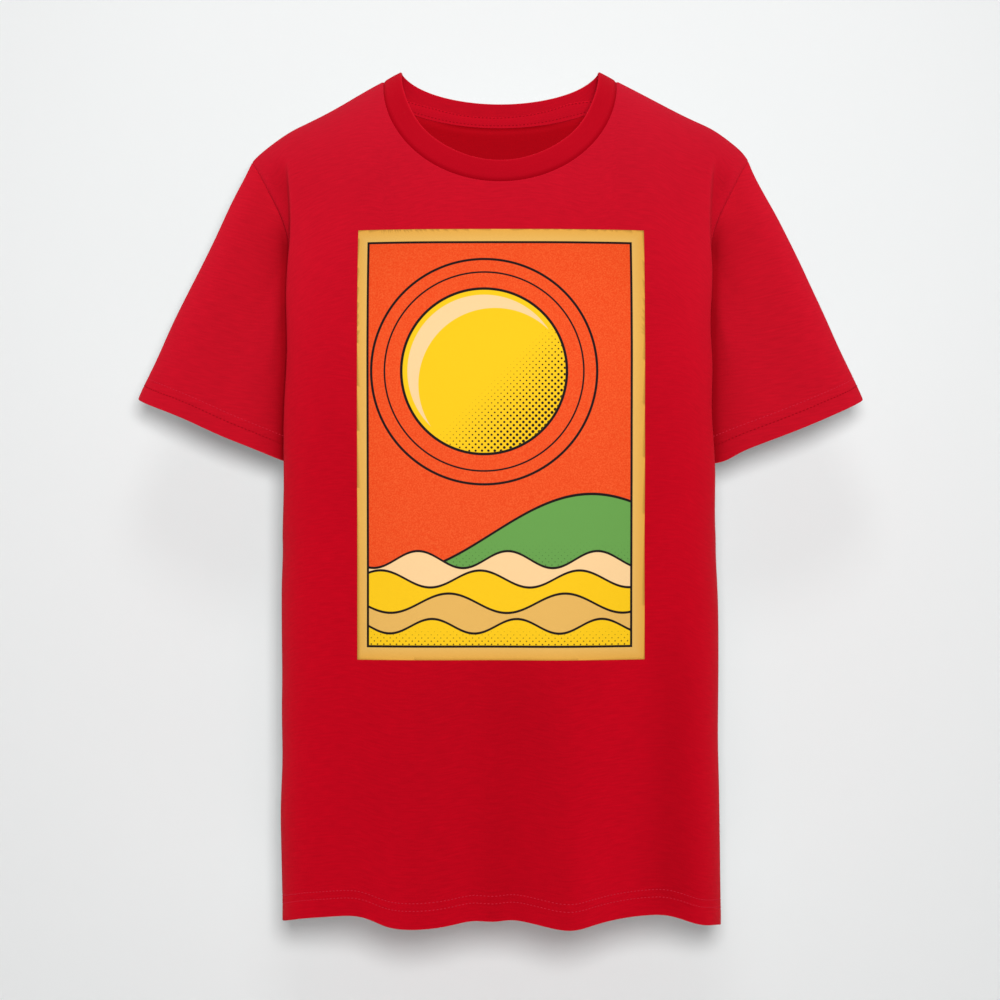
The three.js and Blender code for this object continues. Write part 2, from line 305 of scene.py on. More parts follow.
def runLengths(points, axis):
    # metres of cloth from the first row or column to each point
    steps = np.linalg.norm(np.diff(points, axis=axis), axis=-1)
    start = np.zeros_like(np.take(steps, [0], axis))
    return np.concatenate([start, np.cumsum(steps, axis)], axis)


def rollEdges(points, normals, distance, depth, reach):
    return points - normals * (depth * bell(distance, 0, reach))[..., None]


def turnUp(points, normals, depth, radius):
    # folds the cloth back inside itself below row 0
    heights = runLengths(points, 0)[:, points.shape[1] // 2]
    inside = [k for k in range(len(points)) if heights[k] <= depth][::-1]
    inner = points[inside] - normals[inside] * 2 * radius
    down = unit(points[0] - points[1])
    curl = [
        points[0] + normals[0] * radius * (math.cos(a) - 1) + down * radius * math.sin(a)
        for a in np.linspace(math.pi, 0, 6)[1:-1]
    ]
    return np.concatenate([inner, np.array(curl), points]), len(inner) + len(curl)


def clothMesh(name, points, ring=False, loop=False, shade=None):
    # a grid with its vertices laid on the points
    # its UV map holds metres of cloth, and its attribute hollow, from shade, how much painted shade each
    # spot gets
    laid = np.concatenate([points, points[:, :1]], 1) if ring else points
    laid = np.concatenate([laid, laid[:1]], 0) if loop else laid
    across, along = runLengths(laid, 1), runLengths(laid, 0)
    across = across - across[:, [across.shape[1] // 2]]
    lastRow, lastCol = laid.shape[0] - 1, laid.shape[1] - 1
    bm = bmesh.new()
    bmesh.ops.create_grid(bm, x_segments=lastCol, y_segments=lastRow, size=0.5)
    piece = addPiece(name, bm)
    mesh = piece.data
    flat = np.empty(len(mesh.vertices) * 3)
    mesh.vertices.foreach_get("co", flat)
    i, j = [np.rint((flat[axis::3] + 0.5) * last).astype(int) for axis, last in ((0, lastCol), (1, lastRow))]
    mesh.vertices.foreach_set("co", laid[j, i].ravel())
    corners = np.empty(len(mesh.loops), dtype=np.int32)
    mesh.loops.foreach_get("vertex_index", corners)
    layer = mesh.uv_layers.new(name="cloth")
    layer.uv.foreach_set("vector", np.stack([across[j, i], along[j, i]], -1)[corners].ravel())
    if shade is not None:
        shade = np.concatenate([shade, shade[:, :1]], 1) if ring else shade
        shade = np.concatenate([shade, shade[:1]], 0) if loop else shade
        mesh.attributes.new("hollow", "FLOAT", "POINT").data.foreach_set("value", shade[j, i].ravel())
    if ring or loop:
        bm = bmesh.new()
        bm.from_mesh(mesh)
        bmesh.ops.remove_doubles(bm, verts=bm.verts, dist=1e-6)
        bm.to_mesh(mesh)
        bm.free()
    mesh.update()
    return piece


def addPiece(name, bm):
    for face in bm.faces:
        face.smooth = True
    mesh = bpy.data.meshes.new(name)
    bm.to_mesh(mesh)
    bm.free()
    piece = bpy.data.objects.new(name, mesh)
    bpy.context.scene.collection.objects.link(piece)
    return piece


def thicken(piece, thickness):
    solidify = piece.modifiers.new("clothThickness", "SOLIDIFY")
    solidify.thickness = thickness
    solidify.offset = -1
    return piece


def dress(piece, node=None):
    # the shirt is one body, and a piece with a node takes that solid's place
    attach(piece, "root")
    if node:
        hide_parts(node)
    return piece


edgeSteps = np.array([0, 0.6, 1.3, 2.2, 3.4]) * mm


def closeToEdges(count, edges, low, high):
    # even steps from low to high, with a few close ones at the ends named
    start = edgeSteps[:-1] if "low" in edges else np.array([])
    stop = (high - edgeSteps[:-1])[::-1] if "high" in edges else np.array([])
    first = low + (edgeSteps[-1] if "low" in edges else 0)
    last = high - (edgeSteps[-1] if "high" in edges else 0)
    return np.concatenate([low + start, np.linspace(first, last, count), stop])


# soft unevenness that any worn cloth has

uneven = {"waves": 26, "wavelength": (0.045, 0.170), "height": 0.28 * mm}


def clothUnevenness(a, b, seed):
    draw = np.random.default_rng(seed)
    total = 0
    for k in range(uneven["waves"]):
        heading = draw.uniform(0, math.pi)
        wavelength = draw.uniform(*uneven["wavelength"])
        phase = draw.uniform(0, 2 * math.pi)
        run = a * math.cos(heading) + b * math.sin(heading)
        total = total + np.sin(2 * math.pi * run / wavelength + phase)
    return uneven["height"] * total / math.sqrt(uneven["waves"])


def ridges(folds, a, b):
    # long soft ridges, each from one point to another, fading at both ends
    total = 0
    for (a0, b0), (a1, b1), width, height in folds:
        da, db = a1 - a0, b1 - b0
        t = ((a - a0) * da + (b - b0) * db) / (da * da + db * db)
        away = np.hypot(a - a0 - np.clip(t, 0, 1) * da, b - b0 - np.clip(t, 0, 1) * db)
        total = total + height * bell(away, 0, width) * np.sin(math.pi * np.clip(t, 0, 1)) ** 0.7
    return total


# what the panels and the sleeves share

cloth = {
    "thickness": 0.8 * mm,
    "hemDepth": 21 * mm,
    "hemRadius": 0.9 * mm,
    "hemRow": 1.5 * mm,  # from row to row as far up as hemTop
    "hemTop": 26 * mm,
    "firstRow": 27.5 * mm,  # from here the rows are even
    "groove": (0.22 * mm, 1.4 * mm),  # how deep a row of thread presses in, and its reach
}
hemNeedles = (14.3 * mm, 20.6 * mm)
cuffNeedles = (12.7 * mm, 19.7 * mm)


def rowHeights(count, top):
    hemRows = np.arange(cloth["hemRadius"], cloth["hemTop"], cloth["hemRow"])
    return np.concatenate([hemRows, closeToEdges(count, ("high",), cloth["firstRow"], top)])


def grooves(heights, needles):
    depth, reach = cloth["groove"]
    return sum(depth * bell(heights, needle, reach) for needle in needles)


def clothPiece(name, node, points, normals, shade, ring=False):
    hemmed, extra = turnUp(points, normals, cloth["hemDepth"], cloth["hemRadius"])
    shade = np.concatenate([np.zeros((extra, shade.shape[1])), shade])
    piece = thicken(clothMesh(name, hemmed, ring=ring, shade=shade), cloth["thickness"])
    return dress(piece, node)


# panels

panel = {
    "columns": 184,
    "crowding": 1.25,  # how much closer the columns stand towards the sides
    "halfArc": 0.262,  # metres of cloth from the middle to a side seam
    "sideSteps": np.array([0, 0.6, 1.2, 2.0, 3.0]) * mm,
    "clear": 1.3,  # share of the side steps that the other columns keep clear of
    "rows": 206,
    "seed": {front: 11, back: 23},
    "calm": 0.020,  # how far in from its edges the cloth lies smooth
}
seam = {
    "depth": 0.4 * mm,
    "reach": 0.7 * mm,
    "close": 0.24 * mm,  # how far the side seams are drawn shut
    "closeLow": (0.7, -0.560, -0.660),  # how much further towards the hem, between which heights
    "closeReach": 1.0 * mm,
}
tape = {
    "width": 9.5 * mm,
    "thickness": 0.8 * mm,
    "columns": 190,
    "rows": np.array([0, 0.5, 1.1, 1.7, 2.3, 3.1, 4.3, 5.6, 6.8, 7.8, 8.5, 9.1, 9.5]) * mm,
    "inset": (1.2 * mm, 2.9 * mm),
    "over": 0.3 * mm,  # how far its upper edge stands over that of the panel
    "ends": 0.985,
    "rise": (1.4 * mm, 0.032, 0.88),  # how much higher it reaches near the middle, as a curve of x
    "riseEnds": (0.056, 0.090),
    "riseIn": 0.3,  # how far it goes in for each metre that it rises
    "crown": 0.35 * mm,
    "needles": (2.3 * mm, 9.1 * mm),
    "groove": (0.3 * mm, 0.9 * mm),
    # painted shade on the panel's inside:
    "line": 9.9 * mm,  # the dark line on the panel along its lower edge
    "lineWidth": ((-0.6 * mm, 0), (0.6 * mm, 1.6 * mm)),
    "lineShade": 0.75,
    "belowShade": (0.55, 9 * mm),  # how deep the colour is below it, and over what reach it gets there
}

panelFolds = {
    front: [
        ((0.165, -0.205), (0.085, -0.262), 0.011, 1.0 * mm),
        ((0.166, -0.238), (0.098, -0.318), 0.010, -0.8 * mm),
        ((-0.165, -0.200), (-0.090, -0.250), 0.012, 0.9 * mm),
        ((-0.166, -0.240), (-0.105, -0.330), 0.011, -0.8 * mm),
        ((0.085, -0.060), (0.150, -0.135), 0.013, 0.8 * mm),
        ((-0.085, -0.060), (-0.150, -0.130), 0.013, 0.8 * mm),
    ],
    back: [
        ((0.165, -0.215), (0.070, -0.250), 0.013, 1.2 * mm),
        ((-0.165, -0.215), (-0.070, -0.255), 0.013, 1.2 * mm),
        ((0.150, -0.420), (0.020, -0.470), 0.020, 1.5 * mm),
        ((-0.150, -0.440), (-0.030, -0.480), 0.020, 1.3 * mm),
        ((-0.120, -0.520), (0.030, -0.555), 0.022, 1.0 * mm),
    ],
}


# painted shade: the front is painted a little darker below the chest, and in soft waves above the hem for
# the shade of its folds

valley = {
    "waves": [(-0.095, 0.100, 0.06), (0.013, 0.038, 0.17), (0.146, 0.023, 0.24)],  # x, reach and share
    "top": (-0.400, -0.560),
    "low": (0.5, -0.690, -0.715),  # how much they fade at the hem, between which heights
    "belowChest": (0.10, -0.340, 0.120),
}


def valleyShade(x, z):
    fade, start, end = valley["low"]
    along = smooth(*valley["top"], z) * (1 - fade * smooth(start, end, z))
    waves = sum(share * bell(x, at, reach) for at, reach, share in valley["waves"])
    share, at, reach = valley["belowChest"]
    return waves * along + share * bell(z, at, reach)


# painted shade: a shadow line along the tape's lower edge, and the inside below it painted darker
def tapeShade(fromTop):
    below = fromTop - tape["line"]
    share, reach = tape["belowShade"]
    return np.maximum(tape["lineShade"] * band(*tape["lineWidth"], below), share * smooth(0, reach, below))


def panelColumns(side):
    even = closeToEdges(panel["columns"], ("low", "high"), -1, 1)
    u = np.sign(even) * (1 - (1 - np.abs(even)) ** panel["crowding"])
    near = panel["sideSteps"] / panel["halfArc"]
    u = u[np.abs(u) < 1 - panel["clear"] * near[-1]]
    u = np.concatenate([near - 1, u, (1 - near)[::-1]])
    return u if side == front else u[::-1]


def makePanel(name, node, side):
    uu, vv = np.meshgrid(panelColumns(side), rowHeights(panel["rows"], -body["hemZ"]) / -body["hemZ"])
    points = panelPoint(side, uu, vv)
    normals = gridNormals(points)
    across, heights = runLengths(points, 1), runLengths(points, 0)
    fromTop = heights[-1:] - heights
    fromEdge = np.minimum(np.minimum(across, across[:, -1:] - across), fromTop)
    x, z = points[..., 0], points[..., 2]
    relief = clothUnevenness(x, z, panel["seed"][side]) + ridges(panelFolds[side], x, z)
    relief = relief * smooth(0, panel["calm"], fromEdge) - grooves(heights, hemNeedles)
    points = points + normals * relief[..., None]
    more, start, end = seam["closeLow"]
    close = seam["close"] * (1 + more * smooth(start, end, points[..., 2]))
    points[..., 1] -= side * close * bell(points[..., 1], side * body["halfGap"], seam["closeReach"])
    points = rollEdges(points, normals, fromEdge, seam["depth"], seam["reach"])
    x, z = points[..., 0], points[..., 2]
    shade = creaseShade(x, z) + valleyShade(x, z) if side == front else tapeShade(fromTop)
    return clothPiece(name, node, points, normals, shade), points, normals


frontPanel, frontPoints, frontNormals = makePanel("frontPanel", "front_panel", front)
backPanel, backPoints, backNormals = makePanel("backPanel", "back_panel", back)
print("panels made")


# sleeves

sleeve = {
    "length": 0.235,
    "columns": 168,
    "rows": 72,
    "cuffCentre": (0.2455, 0.008, -0.3045),
    "cuffHalfWidth": 0.074,
    "cuffHalfDepth": 0.046,
    "tilt": math.radians(22.6),
    "backLift": 0.06,
    "leaveOut": (0.28, 0.52),  # which way it leaves the armhole, at the underarm and at the tip
    "leaveDown": (0.96, 0.86),
    "leaveForward": 0.3,
    "tuck": 1.2 * mm,
    "tuckDepth": 1.3 * mm,
    "tuckReach": 1.2 * mm,
    "underarmEase": 1.6 * mm,
    "radius": 0.058,  # for the places of the folds round it
    "calm": 0.018,
    "seed": 31,
    "slant": 0.3,  # how far the unevenness runs down from front to back
    # painted shade, as shares of the deep colour:
    "shade": (0.60, 0.0056),  # deep beside the body, and over what reach
    "softShade": (0.10, 0.036, 0.010),
    "shadeTop": (-0.110, -0.150),
    "cuffShade": (0.10, 0.8 * mm),
}
sleeveFolds = [
    ((0.10, 0.030), (0.135, 0.150), 0.012, 1.1 * mm),
    ((0.155, 0.020), (0.120, 0.110), 0.011, -0.9 * mm),
    ((0.250, 0.030), (0.215, 0.140), 0.013, 1.2 * mm),
    ((0.205, 0.025), (0.235, 0.120), 0.012, -0.9 * mm),
]


def sleevePoint(hand, turn, along):
    # turn goes round from the shoulder tip by the front, and along runs from the armhole, 0, to the cuff, 1
    lift = (1 + np.cos(turn)) / 2
    z = mix(body["underarmZ"], body["tip"][1], lift)
    onFront = (turn <= math.pi)[..., None]
    start = np.where(
        onFront,
        bodyPoint(front, hand * armholeAngle(front, z), z),
        bodyPoint(back, hand * armholeAngle(back, z), z),
    )
    forward = np.sin(turn)
    tilt = sleeve["tilt"]
    down = np.array([hand * math.sin(tilt), 0, -math.cos(tilt)])
    leave = unit(np.stack([
        hand * mix(*sleeve["leaveOut"], lift),
        -sleeve["leaveForward"] * forward,
        -mix(*sleeve["leaveDown"], lift),
    ], -1))
    cx, cy, cz = sleeve["cuffCentre"]
    across = np.cos(turn) * sleeve["cuffHalfWidth"]
    fore = -forward * sleeve["cuffHalfDepth"]
    end = np.stack([
        hand * (cx + across * math.cos(tilt)),
        cy + fore,
        cz + across * math.sin(tilt) + sleeve["backLift"] * fore,
    ], -1)
    start = start - leave * sleeve["tuck"]
    start[..., 0] += hand * (1 - lift) * sleeve["underarmEase"]
    reach = np.linalg.norm(end - start, axis=-1, keepdims=True)
    t = along[..., None]
    h1, h2 = 2 * t ** 3 - 3 * t ** 2 + 1, t ** 3 - 2 * t ** 2 + t
    h3, h4 = 3 * t ** 2 - 2 * t ** 3, t ** 3 - t ** 2
    return start * h1 + leave * h2 * reach + end * h3 + down * h4 * reach


# painted shade: the sleeve is darkened beside the body and along the groove of the lower cuff stitches
def sleeveShade(points, heights):
    past = np.abs(points[..., 0]) - halfWidth(points[..., 2])
    share, reach = sleeve["shade"]
    soft, start, end = sleeve["softShade"]
    shade = share * np.exp(-np.maximum(past, 0) / reach) + soft * smooth(start, end, past)
    shade = shade * smooth(*sleeve["shadeTop"], points[..., 2])
    share, reach = sleeve["cuffShade"]
    return shade + share * bell(heights, cuffNeedles[0], reach)


def makeSleeve(name, node, hand):
    length = sleeve["length"]
    turn = np.linspace(0, 2 * math.pi, sleeve["columns"] + 1)[:-1]
    turn = turn if hand < 0 else -turn % (2 * math.pi)
    tt, ww = np.meshgrid(turn, 1 - rowHeights(sleeve["rows"], length) / length)
    points = sleevePoint(hand, tt, ww)
    normals = gridNormals(points, ring=True)
    heights = runLengths(points, 0)
    fromTop = heights[-1:] - heights
    x, y, z = [points[..., axis] for axis in range(3)]
    relief = clothUnevenness(z + sleeve["slant"] * y, x, sleeve["seed"] + hand)
    relief = relief + ridges(sleeveFolds, tt * sleeve["radius"], ww * length)
    relief = relief * smooth(0, sleeve["calm"], fromTop) - grooves(heights, cuffNeedles)
    points = points + normals * relief[..., None]
    points = rollEdges(points, normals, fromTop, sleeve["tuckDepth"], sleeve["tuckReach"])
    shade = sleeveShade(points, heights)
    return clothPiece(name, node, points, normals, shade, ring=True), points, normals


leftSleeve, leftPoints, leftNormals = makeSleeve("leftSleeve", "left_sleeve", 1)
rightSleeve, rightPoints, rightNormals = makeSleeve("rightSleeve", "right_sleeve", -1)
print("sleeves made")


# neck rib: a band of rib knit folded double, standing up from the neck seam

rib = {
    "columns": 420,
    "width": {"front": 0.0215, "shoulder": 0.0172, "back": 0.0117},
    "swell": 0.005,
    "tipSwell": 0.0024,
    "tipAt": (0.407, 0.327),
    "tipFade": 0.08,
    "lean": {"front": math.radians(26), "shoulder": math.radians(61.5), "back": math.radians(10)},
    "turn": {"front": 1.5, "back": 1.12},
    "thickness": 2.2 * mm,
    "gap": 0.18,  # share of the thickness that is left free between its two layers
    "crown": 0.9 * mm,
    "crownAtSides": 0.3,  # share of the crown that is left above the shoulders
    "crownPower": 0.8,
    "base": -0.07,  # it starts this share of its width below the neck seam
    "dip": (1.4 * mm, 0.5 * mm),  # how far its outer and inner face sink in there
    "dipReach": 0.12,
    # painted shade and light, as shares of the deep colour:
    "outerShade": (0.35, 0.54),  # at the back and at the front of the collar
    "innerShade": (0.03, 0.40),
    "frontFrom": (-0.3, 0.3),  # where the back's shades turn into the front's, on a way from -1 to 1
    "sideShade": (0.45, 0.80, 0.20),  # how much deeper it is inside, where the back turns to the shoulders
    "seamShade": (0.50, -0.02, 0.24),
    "rimShine": (0.37, 0.055),
}


def neckRing(turn):
    onFront = (np.cos(turn) >= 0)[..., None]
    return np.where(onFront, neckEdge(front, turn), neckEdge(back, math.pi - turn))


def ribPoint(turn, across, offset):
    # across runs from the neck seam, 0, to the rim, 1
    base = neckRing(turn)
    tangent = neckRing(turn + 0.02) - neckRing(turn - 0.02)
    tangent[..., 2] = 0
    tangent = unit(tangent)
    inward = np.stack([-tangent[..., 1], tangent[..., 0], 0 * turn], -1)
    facing, onFront = np.abs(np.cos(turn)), np.cos(turn) >= 0
    lean, width = [
        mix(rib[key]["shoulder"], np.where(onFront, rib[key]["front"], rib[key]["back"]), share)
        for key, share in (("lean", facing ** np.where(onFront, rib["turn"]["front"], rib["turn"]["back"])),
                           ("width", facing))
    ]
    behindTip = rib["tipSwell"] * bell(facing, *rib["tipAt"]) * smooth(0, rib["tipFade"], facing)
    width = width + np.where(onFront, rib["swell"] * np.sin(2 * turn) ** 2, behindTip)
    up = np.array([0, 0, 1.0])
    rise = inward * np.sin(lean)[..., None] + up * np.cos(lean)[..., None]
    out = up * np.sin(lean)[..., None] - inward * np.cos(lean)[..., None]
    return base + rise * (across * width)[..., None] + out * offset[..., None]


def ribSection():
    # the outer face, the fold at the rim and the inner face
    half, base, gap = rib["thickness"] / 2, rib["base"], rib["gap"]
    fold = half / rib["width"]["front"]

    def outside(across):
        return -rib["dip"][0] * bell(across, base, rib["dipReach"])

    def inside(across):
        return -2 * half - rib["dip"][1] * bell(across, base, rib["dipReach"])

    outer = [(across, outside(across)) for across in np.linspace(base, 0.25, 10)]
    outer += [(across, 0) for across in np.linspace(0.30, 1 - fold, 12)]
    curl = [
        (1 - fold + fold * math.sin(a), half * (math.cos(a) - 1))
        for a in np.linspace(0, math.pi, 9)[1:-1]
    ]
    inner = [(across, -2 * half) for across in np.linspace(1 - fold, 0.2, 10)]
    inner += [(across, inside(across)) for across in np.linspace(0.15, base, 6)]

    # the band is folded double, so two more faces lie inside it, with a narrow gap between them
    def between(across, share):
        return across, mix(inside(across), outside(across), share)

    hidden = [between(across, (1 - gap) / 2) for across in np.linspace(base, 1 - fold, 8)]
    hidden += [
        (1 - fold + gap * fold * math.sin(a), -half - gap * half * math.cos(a))
        for a in np.linspace(0, math.pi, 5)[1:-1]
    ]
    lining = [between(across, (1 + gap) / 2) for across in np.linspace(1 - fold, base, 8)]
    return outer + curl + inner + hidden + lining, len(outer), len(lining)


def makeRib():
    section, outerRows, liningRows = ribSection()
    turn = np.linspace(0, 2 * math.pi, rib["columns"] + 1)[:-1]
    tt, aa = np.meshgrid(turn, [across for across, offset in section])
    offsets = np.array([offset for across, offset in section])[:, None] + 0 * tt
    crown = rib["crown"] * np.sin(math.pi * np.clip(aa, 0, 1)) ** rib["crownPower"]
    crown = crown * mix(rib["crownAtSides"], 1, np.abs(np.cos(tt)))
    offsets[:outerRows] += crown[:outerRows]
    offsets[-liningRows:] += crown[-liningRows:]
    points = ribPoint(tt, aa, offsets)
    # painted shade and light: the knit is painted flat and deep in colour, darkest at the seam, with a
    # painted highlight along its rim
    toFront = smooth(*rib["frontFrom"], np.cos(tt))
    deeper, start, end = rib["sideShade"]
    atSides = smooth(start, end, np.abs(np.cos(tt))) * (1 - toFront)
    shade = mix(*rib["innerShade"], toFront) + deeper * atSides
    dark, start, end = rib["seamShade"]
    outerShade = mix(*rib["outerShade"], toFront) + dark * (1 - smooth(start, end, aa))
    shade[:outerRows] = outerShade[:outerRows]
    shine, reach = rib["rimShine"]
    shade = shade - mix(0, shine, toFront) * bell(aa, 1, reach)
    piece = clothMesh("neckRib", points, ring=True, loop=True, shade=np.maximum(shade, 0))
    return dress(piece, "neck_rib")


neckRib = makeRib()
print("rib made")


# the tape that covers the neck seam inside the back

def makeTape():
    width, heights = tape["width"], tape["rows"]
    span = body["neckShare"] * tape["ends"]
    uu, hh = np.meshgrid(np.linspace(-span, span, tape["columns"]), heights)
    across = panelPoint(back, uu, 1 + 0 * uu)[..., 0]
    level, lean, curve = tape["rise"]
    middle = 1 - smooth(*tape["riseEnds"], np.abs(across))
    stretch = (level + lean * across + curve * across ** 2) * middle
    stretch = stretch * hh / width
    points = panelPoint(back, uu, 1 + (hh - width + tape["over"] + stretch) / -body["hemZ"])
    inward = gridNormals(points)
    low, high = tape["inset"]
    points = points + inward * (mix(low, high, smooth(0, width, hh)) + tape["riseIn"] * stretch)[..., None]
    crown = tape["crown"] * np.sin(math.pi * hh / width)
    depth, reach = tape["groove"]
    for needle in tape["needles"]:
        crown = crown - depth * bell(hh, needle, reach)
    points = points + inward * (crown + tape["thickness"])[..., None]
    piece = dress(thicken(clothMesh("neckTape", points), tape["thickness"]), "neck_tape")
    needleRows = np.searchsorted(heights, np.array(tape["needles"]) - 0.01 * mm)
    return piece, [(points[row], inward[row]) for row in needleRows]


neckTape, tapeLines = makeTape()
print("tape made")


# chest print: a thin film cut from the front of the panel

printArea = {
    "left": -0.118,
    "right": 0.1198,
    "bottom": -0.4963,
    "top": -0.1397,
    "lift": 0.14 * mm,
    "film": 0.11 * mm,
}


def makePrint():
    bm = bmesh.new()
    bm.from_mesh(frontPanel.data)
    cuts = [
        ((printArea["left"], 0, 0), (-1, 0, 0)),
        ((printArea["right"], 0, 0), (1, 0, 0)),
        ((0, 0, printArea["bottom"]), (0, 0, -1)),
        ((0, 0, printArea["top"]), (0, 0, 1)),
    ]
    for place, direction in cuts:
        everything = bm.verts[:] + bm.edges[:] + bm.faces[:]
        bmesh.ops.bisect_plane(bm, geom=everything, plane_co=place, plane_no=direction, clear_outer=True)
    bm.normal_update()
    shifts = {vert: vert.normal * printArea["lift"] for vert in bm.verts}
    for vert, shift in shifts.items():
        vert.co += shift
    piece = thicken(addPiece("chestPrint", bm), printArea["film"])
    piece.modifiers[0].offset = 1
    return dress(piece, "chest_print")


chestPrint = makePrint()
print("print made")


# stitches: low capsules of thread along a line over the cloth

stitch = {
    "length": 2.2 * mm,
    "gap": 1.1 * mm,
    "radius": 0.34 * mm,
    "sunkRadius": 0.40 * mm,
    "flat": 1.1,  # how much wider than high
    "raise": 0.3,  # how much of its radius it stands over the cloth
}


def lineAcross(points, normals, height, ring=False):
    heights = runLengths(points, 0)
    line, facing = [], []
    for i in range(points.shape[1]):
        line.append([np.interp(height, heights[:, i], points[:, i, k]) for k in range(3)])
        facing.append([np.interp(height, heights[:, i], normals[:, i, k]) for k in range(3)])
    if ring:
        line.append(line[0])
        facing.append(facing[0])
    return np.array(line), np.array(facing)


def sewLine(bm, line, facing, radius):
    run = runLengths(line[None], 1)[0]
    pitch = stitch["length"] + stitch["gap"]
    count = int(run[-1] / pitch)

    def spot(values, at):
        return np.array([np.interp(at, run, values[:, k]) for k in range(3)])

    for k in range(count):
        middle = (k + 0.5) * run[-1] / count
        up = Vector(spot(facing, middle)).normalized()
        along = Vector(spot(line, middle + 0.5 * mm) - spot(line, middle - 0.5 * mm)).normalized()
        side = up.cross(along).normalized()
        size = (stitch["length"] / 2, radius * stitch["flat"], radius)
        turnTo = Matrix([along * size[0], side * size[1], up * size[2]]).transposed().to_4x4()
        place = Matrix.Translation(Vector(spot(line, middle)) + up * stitch["raise"] * radius)
        bmesh.ops.create_uvsphere(bm, u_segments=6, v_segments=4, radius=1, matrix=place @ turnTo)


def makeStitches(name, lines, radius=stitch["radius"]):
    bm = bmesh.new()
    for line, facing in lines:
        sewLine(bm, line, facing, radius)
    return dress(addPiece(name, bm))


hemStitches = makeStitches("hemStitches", [
    lineAcross(points, normals, height)
    for points, normals in ((frontPoints, frontNormals), (backPoints, backNormals))
    for height in hemNeedles
])
# the lower cuff rows and the tape rows take a thread painted darker for the shade in their needle holes
cuffStitches, paintedShadeCuffStitches = [
    makeStitches(name, [
        lineAcross(points, normals, height, ring=True)
        for points, normals in ((leftPoints, leftNormals), (rightPoints, rightNormals))
    ], radius)
    for name, height, radius in (
        ("cuffStitches", cuffNeedles[1], stitch["radius"]),
        ("paintedShadeCuffStitches", cuffNeedles[0], stitch["sunkRadius"]),
    )
]
tapeStitches = makeStitches("tapeStitches", tapeLines)
print("stitches made")


# worn cloth never hangs alike on both sides: x and z of a spot, how far it moves in x and z, and its reach

unevenSpots = [
    (-0.148, -0.027, 0.0, -0.0024, 0.035),
    (-0.211, -0.067, -0.0016, 0.0, 0.016),
    (-0.257, -0.151, 0.0033, 0.0, 0.045),
    (-0.311, -0.269, -0.0016, -0.0006, 0.022),
    (-0.270, -0.295, 0.0, 0.0018, 0.032),
    (-0.215, -0.320, 0.0, 0.0010, 0.025),
    (-0.185, -0.234, 0.0026, 0.0, 0.040),
    (-0.190, -0.406, 0.0016, 0.0, 0.025),
    (-0.190, -0.636, -0.0018, 0.0, 0.035),
    (0.193, -0.047, 0.0015, 0.0023, 0.028),
    (0.211, -0.062, 0.0022, 0.0008, 0.014),
    (0.309, -0.273, 0.0030, -0.0006, 0.042),
    (0.261, -0.302, 0.0, -0.0008, 0.030),
    (0.195, -0.328, 0.0, -0.0028, 0.013),
    (0.186, -0.216, -0.0040, 0.0, 0.040),
    (0.188, -0.288, -0.0040, 0.0, 0.040),
    (0.188, -0.399, -0.0029, 0.0, 0.045),
]

# behind the sleeves the sides of the back stand a little further out
behindSleeves = {"out": 0.0055, "at": (-0.350, 0.040), "y": (0, 0.040), "x": (0.100, 0.165)}


def settle(piece):
    mesh = piece.data
    flat = np.empty(len(mesh.vertices) * 3)
    mesh.vertices.foreach_get("co", flat)
    x, y, z = flat[0::3].copy(), flat[1::3].copy(), flat[2::3].copy()
    for atX, atZ, moveX, moveZ, reach in unevenSpots:
        near = np.exp(-((x - atX) ** 2 + (z - atZ) ** 2) / reach ** 2)
        flat[0::3] += moveX * near
        flat[2::3] += moveZ * near
    behind = smooth(*behindSleeves["y"], y) * smooth(*behindSleeves["x"], np.abs(x))
    flat[0::3] += np.sign(x) * behindSleeves["out"] * bell(z, *behindSleeves["at"]) * behind
    mesh.vertices.foreach_set("co", flat)
    mesh.update()


allPieces = [
    frontPanel, backPanel, leftSleeve, rightSleeve, neckRib, neckTape, chestPrint,
    hemStitches, cuffStitches, paintedShadeCuffStitches, tapeStitches,
]
for piece in allPieces:
    settle(piece)
print("settled")


# studio

studio = {
    "cameraDistance": 2.4,
    "cameraZ": -0.3642,
    "frameWidth": 0.87,
    "sensor": 36,
    "wallY": 0.140,
    "wallCentreZ": 1.5,
    "wallHalfSize": 3,
    "wallColor": (0.815, 0.830, 0.830),
    "wallGlow": 0.09,  # the backdrop is lit from behind as well
    "floorZ": -1.30,
    "floorHalfSize": 4,
    "floorColor": (0.8, 0.8, 0.8),
    "bounce": (0.24, 0.25, 0.25),  # how brightly the back of the shirt lights the backdrop
    "world": 0.15,
    # name, place, target, size, power, spread in degrees
    "lights": [
        ("keyLight", (0.05, -2.5, -0.16), (0, 0, 0.05), 0.36, 20.5, 120),
        ("topLight", (0, -1.6, 1.0), (0, 0, -0.05), 0.60, 3.9, 150),
        ("backLight", (0.4, 2.6, -0.10), (0, 0, -0.30), 0.90, 18, 120),
    ],
}


# node helpers

def calc(tree, operation, a, b=None, c=None):
    node = tree.nodes.new("ShaderNodeMath")
    node.operation = operation
    for socket, value in zip(node.inputs, (a, b, c)):
        if value is None:
            continue
        if isinstance(value, (int, float)):
            socket.default_value = value
        else:
            tree.links.new(value, socket)
    return node.outputs[0]


def blendColor(tree, share, a, b):
    node = tree.nodes.new("ShaderNodeMix")
    node.data_type = "RGBA"
    for socket, value in zip((node.inputs[0], node.inputs[6], node.inputs[7]), (share, a, b)):
        if isinstance(value, (int, float)):
            socket.default_value = value
        elif isinstance(value, tuple):
            socket.default_value = (*value, 1)
        else:
            tree.links.new(value, socket)
    return node.outputs[2]


